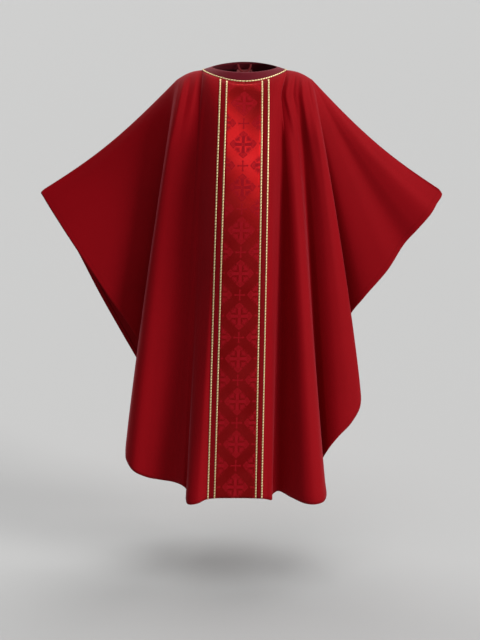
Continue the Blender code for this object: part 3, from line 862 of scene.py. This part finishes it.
def cloth_half(side, material):
    """One half of the cloth, front and back in one piece over the shoulder and the arm."""
    front, back = QUARTERS["front", side], QUARTERS["back", side]
    stations = spread_stations(front, back)
    downs = np.linspace(0.0, 1.0, DOWN_COUNT) ** DOWN_POWER
    bm = bmesh.new()
    layer = bm.loops.layers.uv.new("UVMap")
    for quarter in (front, back):
        grid = quarter.grid(stations, downs)
        uv = metres_along(grid)
        verts = [[bm.verts.new(p) for p in column] for column in grid]
        order = -1 if quarter.front == (side > 0) else 1
        for i in range(len(stations) - 1):
            for j in range(len(downs) - 1):
                spots = ((i, j), (i + 1, j), (i + 1, j + 1), (i, j + 1))[::order]
                made = bm.faces.new([verts[a][b] for a, b in spots])
                made.smooth = True
                for loop, (a, b) in zip(made.loops, spots):
                    loop[layer].uv = uv[a, b]
    bmesh.ops.remove_doubles(bm, verts=bm.verts, dist=WELD)
    cloth = mesh_of(bm, f"cloth_{HANDS[side]}", material)
    thicken = cloth.modifiers.new("thickness", "SOLIDIFY")
    thicken.thickness = CLOTH
    thicken.offset = 0.0
    apply_modifiers(cloth)
    return cloth


def apply_modifiers(thing):
    """Keeps the shape that the modifiers give, and takes them off."""
    bpy.context.view_layer.update()
    final = bpy.data.meshes.new_from_object(thing.evaluated_get(bpy.context.evaluated_depsgraph_get()))
    thing.modifiers.clear()
    old = thing.data
    thing.data = final
    bpy.data.meshes.remove(old)


def orphrey_strip(half, side, shares, downs):
    """The cloth's surface under a strip of the orphrey: points and outward normals, straight across."""
    quarter = QUARTERS[half, side]
    stations = np.array(shares) * ORPHREY_STATION
    grid = quarter.grid(stations, downs)
    before = quarter.grid(np.maximum(stations - STRIP_STEP, 0.0), downs)
    after = quarter.grid(stations + STRIP_STEP, downs)
    normal = np.cross(after - before, np.gradient(grid, axis=1))
    normal /= np.linalg.norm(normal, axis=2, keepdims=True)
    return grid, facing_out(normal, quarter.front)


def damask_band(half, material):
    """The damask down the middle, from border to border."""
    downs = np.linspace(*STRIP_SPAN, 180)
    shares = np.linspace(0.0, DAMASK_SHARE, 7)
    left, left_normals = orphrey_strip(half, 1, shares, downs)
    right, right_normals = orphrey_strip(half, -1, shares, downs)
    grid = np.concatenate([right[:0:-1], left])
    normals = np.concatenate([right_normals[:0:-1], left_normals])
    middle = left[0]
    travelled = run_along(middle) - FIRST_FLOWER
    phase = travelled * (1.0 - REPEAT_EASE * travelled) / REPEAT
    across = np.linalg.norm(grid - middle[None], axis=2) / REPEAT
    across[:len(shares) - 1] *= -1.0
    uv = np.stack([across, np.broadcast_to(-phase, across.shape)], axis=-1)
    grid = grid + normals * (CLOTH / 2 + DAMASK_OFF_CLOTH)
    band = shell(f"{half}_damask_band", grid, uv, material, normals, DAMASK_THICKNESS)
    return on_garment(band, "red_damask", f"{half}_orphrey_damask")


def border(half, side, material):
    """The plain strip between two braids, on one side of the damask."""
    hand = HANDS[side]
    downs = np.linspace(*STRIP_SPAN, 150)
    grid, normals = orphrey_strip(half, side, np.linspace(*BORDER_SHARE, 4), downs)
    uv = metres_along(grid)
    grid = grid + normals * (CLOTH / 2 + BORDER_OFF_CLOTH)
    made = shell(f"{half}_border_{hand}", grid, uv, material, normals, BORDER_THICKNESS)
    return on_garment(made, "crimson_cloth", f"{half}_orphrey_border_{hand}")


def braid(half, side, row, material):
    """A narrow braid of gold thread whose lays stand up as a row of beads. Row is inner or outer."""
    hand = HANDS[side]
    quarter = QUARTERS[half, side]
    station = BRAID_SHARES[row] * ORPHREY_STATION
    length = np.linalg.norm(quarter.grid([station], [1.0]) - quarter.grid([station], [0.0]))
    beads = round(length / BEAD)
    downs = np.linspace(*BRAID_SPAN, beads * BEAD_ROWS + 1)
    middle, normals = orphrey_strip(half, side, [BRAID_SHARES[row]], downs)
    middle, normals = middle[0], normals[0]
    along = np.gradient(middle, axis=0)
    along /= np.linalg.norm(along, axis=1, keepdims=True)
    sideways = np.cross(along, normals)
    profile = np.array([-1.0, -0.75, -0.3, 0.3, 0.75, 1.0])
    height = np.array([0.15, 0.75, 1.0, 1.0, 0.75, 0.15])
    bead = np.abs(np.sin(np.arange(len(downs)) * math.pi / BEAD_ROWS))
    pinch = (0.86 + 0.14 * bead)[None, :, None]
    grid = middle[None] + sideways[None] * (profile[:, None, None] * BRAID_WIDTH / 2) * pinch
    grid = grid + normals[None] * (CLOTH / 2 + BRAID_OFF_CLOTH)
    bulge = height[:, None] * (0.60 + 0.40 * bead)[None] * BRAID_HEIGHT
    uv = np.stack(np.broadcast_arrays(profile[:, None] * BRAID_WIDTH / 2, -run_along(middle)[None]), axis=-1)
    normals = np.broadcast_to(normals[None], grid.shape)
    made = shell(f"{half}_{row}_gold_{hand}", grid, uv, material, normals, bulge=bulge)
    return on_garment(made, "gold_braid", f"{half}_{row}_braid_{hand}")


def ring_grid(turn, acrosses, lifts):
    """A ring round the neck through a cross-section of (share across the band, height above it)."""
    inner = neck_points(turn, np.zeros_like(turn))
    outer = neck_points(turn, np.ones_like(turn))
    along = np.roll(inner, -1, axis=0) - np.roll(inner, 1, axis=0)
    normal = np.cross(along, outer - inner)
    normal /= np.linalg.norm(normal, axis=1, keepdims=True)
    normal[normal[:, 2] < 0] *= -1.0
    points = [inner + (outer - inner) * a + normal * h for a, h in zip(acrosses, lifts)]
    return np.stack(points, axis=1)


def ring_tube(name, section, material, swell=np.ones(NECK_TURNS)):
    """A closed tube round the neck whose cross-section is a loop of (across, height) points. Its height
    swells by a share at each step of the way round."""
    acrosses, lifts = section
    turns_count = len(swell)
    turns = 2 * math.pi * np.arange(turns_count) / turns_count
    base = ring_grid(turns, acrosses, np.zeros(len(lifts)))
    grid = base + (ring_grid(turns, acrosses, lifts) - base) * swell[:, None, None]
    bm = bmesh.new()
    layer = bm.loops.layers.uv.new("UVMap")
    verts = [[bm.verts.new(p) for p in column] for column in grid]
    run = run_along(np.concatenate([grid[:, 0], grid[:1, 0]]))
    girth = run_along(np.concatenate([grid[0], grid[0, :1]]))
    tall = len(acrosses)
    for i in range(turns_count):
        for j in range(tall):
            k, m = (i + 1) % turns_count, (j + 1) % tall
            made = bm.faces.new((verts[i][j], verts[k][j], verts[k][m], verts[i][m]))
            made.smooth = True
            for loop, (a, b) in zip(made.loops, ((i, j), (i + 1, j), (i + 1, j + 1), (i, j + 1))):
                loop[layer].uv = (girth[b], -run[a])
    return closed_mesh(bm, name, material)


def neck(maroon, gold):
    """The neck band folded over the edge of the opening, the facing inside it, and the gold braid."""
    on_garment(ring_tube("neck_binding", BINDING_SECTION, maroon), "maroon_cloth", "neck_band")
    on_garment(ring_tube("neck_inner_facing", FACING_SECTION, maroon), "maroon_cloth", "neck_facing")
    beads = 0.86 + 0.14 * np.abs(np.sin(np.arange(NECK_BRAID_TURNS) * math.pi / NECK_BRAID_BEAD))
    collar = ring_tube("neck_gold", NECK_BRAID_SECTION, gold, beads)
    on_garment(collar, "gold_braid", "neck_braid")


def ray_lengths(quarter, stations):
    """The length of the cloth from the top line to the hem at each station."""
    feet = quarter.hem(quarter.row_of(stations))[:, 1:4]
    return np.linalg.norm(feet - top_points(stations, quarter.side, quarter.front), axis=1)


def hem_turnup(half, side, material):
    """The hem, turned up inside: a narrow band along the lower edge, across from the body to the wing."""
    hand = HANDS[side]
    quarter = QUARTERS[half, side]
    stations = spread_stations(quarter)
    stations = stations[stations < HEM_END]
    columns = []
    for station, share in zip(stations, HEM_WIDTH / ray_lengths(quarter, stations)):
        columns.append(quarter.points(np.full(6, station), np.linspace(1.0 - share, HEM_LOWEST, 6)))
    grid = np.stack(columns)
    normals = facing_out(grid_normals(grid), quarter.front)
    uv = metres_along(grid)
    grid = grid - normals * (CLOTH / 2 + HEM_THICKNESS)
    made = shell(f"{half}_hem_{hand}", grid, uv, material, normals, HEM_THICKNESS)
    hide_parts(f"{half}_hem_facing_{hand}", f"{hand}_wing_hem_facing_{half}")
    blend_to_wing(made)
    return made


def shoulder_stay(side, material):
    """A woven tape under the shoulder seam with a raised selvedge along each side."""
    hand = HANDS[side]
    first, last = top_points(np.array(STAY_SPAN), side, True)
    straight = first + (last - first) * np.linspace(0.0, 1.0, 60)[:, None]
    straight[:, 2] -= STAY_DROP
    profile = np.linspace(-1.0, 1.0, 15)
    selvedge = np.where(np.abs(profile) > 0.8, 1.0, 0.72)
    along = np.arange(60)
    rib = 1.0 + 0.12 * np.cos(along * math.pi)
    grid = straight[None] + np.stack([0 * profile, profile * STAY_WIDTH / 2, 0 * profile], axis=1)[:, None]
    normals = np.broadcast_to(np.array([0.0, 0.0, 1.0]), grid.shape)
    bulge = selvedge[:, None] * rib[None] * STAY_THICKNESS
    lowered = grid - normals * STAY_THICKNESS / 2
    made = shell(f"shoulder_tape_{hand}", lowered, metres_along(grid), material, normals, bulge=bulge)
    on_garment(made, "red_tape", f"shoulder_stay_{hand}")


def hanging_loop(material):
    """A narrow folded tape sewn in at both ends at the back of the neck."""
    anchor = neck_points(np.array([math.pi]), np.zeros(1))[0]
    turn = np.linspace(0.0, math.pi, 49)
    across = np.linspace(0.0, 1.0, 7)
    wide = LOOP_HALF_WIDTH - LOOP_BAND * across[:, None]
    deep = LOOP_DEPTH - LOOP_BAND * across[:, None]
    x = -np.cos(turn)[None] * wide
    z = anchor[2] - LOOP_BELOW_EDGE - np.sin(turn)[None] * deep
    y = np.full_like(x, anchor[1] - LOOP_GAP)
    grid = np.stack([x, y, z], axis=-1)
    normals = np.broadcast_to(np.array([0.0, -1.0, 0.0]), grid.shape)
    fold = 0.65 + 0.35 * np.sin(across * math.pi)
    bulge = np.broadcast_to(fold[:, None] * LOOP_THICKNESS, grid.shape[:2])
    back = grid - normals * LOOP_THICKNESS / 2
    made = shell("hanging_tape_loop", back, metres_along(grid), material, normals, bulge=bulge)
    on_garment(made, "red_tape", "hanging_loop")


def blank_label(material):
    """A woven label without words, its cut ends turned under."""
    edge = neck_points(np.array([math.pi]), np.ones(1))[0]
    x = np.linspace(-LABEL_HALF_WIDTH, LABEL_HALF_WIDTH, 21)
    down = np.linspace(0.0, LABEL_HEIGHT, 15)
    grid = np.zeros((21, 15, 3))
    grid[..., 0] = x[:, None]
    grid[..., 1] = edge[1] - LABEL_GAP
    grid[..., 2] = edge[2] - LABEL_BELOW_BAND - down[None]
    normals = np.broadcast_to(np.array([0.0, -1.0, 0.0]), grid.shape)
    turned = np.where(np.abs(x) > LABEL_HALF_WIDTH * 0.82, 1.0, 0.6)
    bulge = np.broadcast_to(turned[:, None] * LABEL_THICKNESS, grid.shape[:2])
    back = grid - normals * LABEL_THICKNESS / 2
    made = shell("blank_woven_label", back, metres_along(grid), material, normals, bulge=bulge)
    on_garment(made, "label_cloth", "blank_label")


def stitch_row(name, points, normals, material):
    """A row of sewing stitches: short threads of three flat sides that lie on the cloth, end to end."""
    bm = bmesh.new()
    layer = bm.loops.layers.uv.new("UVMap")
    run = run_along(points)
    for k in range(int(run[-1] / STITCH_PITCH)):
        at = (k + np.array([0.10, 0.30, 0.70, 0.90])) * STITCH_PITCH
        spine = np.stack([np.interp(at, run, points[:, axis]) for axis in range(3)], axis=1)
        up = np.stack([np.interp(at, run, normals[:, axis]) for axis in range(3)], axis=1)
        along = spine[-1] - spine[0]
        along /= np.linalg.norm(along)
        sideways = np.cross(along, up)
        sideways /= np.linalg.norm(sideways, axis=1, keepdims=True)
        middle = spine + up * (np.array([-0.2, 0.75, 0.75, -0.2])[:, None] * STITCH_THICKNESS)
        corners = [middle + (sideways * math.cos(turn) + up * math.sin(turn)) * STITCH_THICKNESS / 2
                   for turn in (0.52, 2.62, 4.71)]
        rings = [[bm.verts.new(corner[m]) for corner in corners] for m in range(4)]
        for ring, after in zip(rings, rings[1:]):
            for c in range(3):
                made = bm.faces.new((ring[c], after[c], after[(c + 1) % 3], ring[(c + 1) % 3]))
                made.smooth = True
        bm.faces.new(rings[0][::-1])
        bm.faces.new(rings[-1])
    for face in bm.faces:
        for loop in face.loops:
            loop[layer].uv = (loop.vert.co.x, loop.vert.co.z)
    bmesh.ops.recalc_face_normals(bm, faces=bm.faces)
    return mesh_of(bm, name, material)


def hem_stitches(half, side, material):
    """The row of stitches that holds the turned-up hem, seen on the outside of the cloth."""
    quarter = QUARTERS[half, side]
    stations = spread_stations(quarter)
    stations = stations[(stations >= ORPHREY_STATION) & (stations < STITCH_END)]
    shares = HEM_STITCH / ray_lengths(quarter, stations)
    strips = [quarter.points(np.full(3, station), 1.0 - share + np.array([-0.002, 0.0, 0.002]))
              for station, share in zip(stations, shares)]
    grid = np.stack(strips)
    normals = facing_out(grid_normals(grid), quarter.front)
    line = grid[:, 1] + normals[:, 1] * CLOTH / 2
    made = stitch_row(f"{half}_hem_stitches_{HANDS[side]}", line, normals[:, 1], material)
    blend_to_wing(made)


def blend_to_wing(piece):
    """Bakes a piece's placement into its mesh; the piece is not bent."""
    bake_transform(piece)


def main():
    make_camera()
    make_light()
    make_floor()
    crimson, maroon, damask, gold = crimson_cloth(), maroon_cloth(), red_damask(), gold_braid()
    satin = crimson_satin()
    tape = woven_tape("red_tape", 0.88, 900.0, (0.11, 0.003, 0.006), (0.19, 0.008, 0.012), 0.0004)
    label = woven_tape("label_cloth", 0.85, 1100.0, (0.20, 0.030, 0.034), (0.28, 0.050, 0.052), 0.0003)
    trims = {1: [], -1: []}
    for half in ("front", "back"):
        damask_band(half, damask)
        for side in (1, -1):
            trims[side].append(border(half, side, satin))
            trims[side].extend(braid(half, side, row, gold) for row in BRAID_SHARES)
            trims[side].append(hem_turnup(half, side, crimson))
    neck(maroon, gold)
    hanging_loop(tape)
    blank_label(label)
    for side in (1, -1):
        shoulder_stay(side, tape)
        for half in ("front", "back"):
            hem_stitches(half, side, crimson)
    for side, hand in HANDS.items():
        cloth = cloth_half(side, crimson)
        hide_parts(f"front_panel_{hand}", f"back_panel_{hand}",
                    f"{hand}_wing_front", f"{hand}_wing_back")
        blend_to_wing(cloth)


main()
